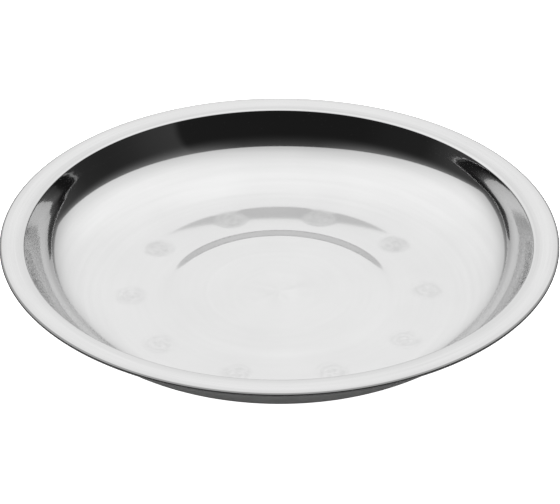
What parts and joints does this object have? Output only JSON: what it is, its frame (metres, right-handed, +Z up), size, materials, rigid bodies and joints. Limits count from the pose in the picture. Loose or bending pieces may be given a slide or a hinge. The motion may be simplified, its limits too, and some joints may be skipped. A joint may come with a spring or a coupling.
{
  "type": "parts sorting tray",
  "caption": "Round polished stainless steel magnetic tray with a flat hemmed rim, on magnetic feet in rubber cups, for sorting and holding small parts.",
  "frame": {"origin": "centre of the tray in the plane that its ten feet stand on", "axes": "+Z up along the tray's axis; +Y towards the back of the tray, +X to the right"},
  "size_m": [0.27, 0.27, 0.0399],
  "materials": {
    "polished_stainless": "mirror polished pressed stainless sheet with faint circular polishing marks",
    "black_rubber": "matte moulded rubber",
    "nickel_plated_magnet": "satin nickel plating on a neodymium ring",
    "bare_stainless": "turned and welded, unpolished",
    "zinc_plated_steel": "bright zinc plated"
  },
  "bodies": {
    "root": {"tray_dish": "polished_stainless", "rubber_cup_01": "black_rubber", "rubber_cup_02": "black_rubber", "rubber_cup_03": "black_rubber", "rubber_cup_04": "black_rubber", "rubber_cup_05": "black_rubber", "rubber_cup_06": "black_rubber", "rubber_cup_07": "black_rubber", "rubber_cup_08": "black_rubber", "rubber_cup_09": "black_rubber", "rubber_cup_10": "black_rubber", "ring_magnet_01": "nickel_plated_magnet", "ring_magnet_02": "nickel_plated_magnet", "ring_magnet_03": "nickel_plated_magnet", "ring_magnet_04": "nickel_plated_magnet", "ring_magnet_05": "nickel_plated_magnet", "ring_magnet_06": "nickel_plated_magnet", "ring_magnet_07": "nickel_plated_magnet", "ring_magnet_08": "nickel_plated_magnet", "ring_magnet_09": "nickel_plated_magnet", "ring_magnet_10": "nickel_plated_magnet", "weld_boss_01": "bare_stainless", "weld_boss_02": "bare_stainless", "weld_boss_03": "bare_stainless", "weld_boss_04": "bare_stainless", "weld_boss_05": "bare_stainless", "weld_boss_06": "bare_stainless", "weld_boss_07": "bare_stainless", "weld_boss_08": "bare_stainless", "weld_boss_09": "bare_stainless", "weld_boss_10": "bare_stainless", "cup_screw_01": "zinc_plated_steel", "cup_screw_02": "zinc_plated_steel", "cup_screw_03": "zinc_plated_steel", "cup_screw_04": "zinc_plated_steel", "cup_screw_05": "zinc_plated_steel", "cup_screw_06": "zinc_plated_steel", "cup_screw_07": "zinc_plated_steel", "cup_screw_08": "zinc_plated_steel", "cup_screw_09": "zinc_plated_steel", "cup_screw_10": "zinc_plated_steel"}
  },
  "joints": []
}
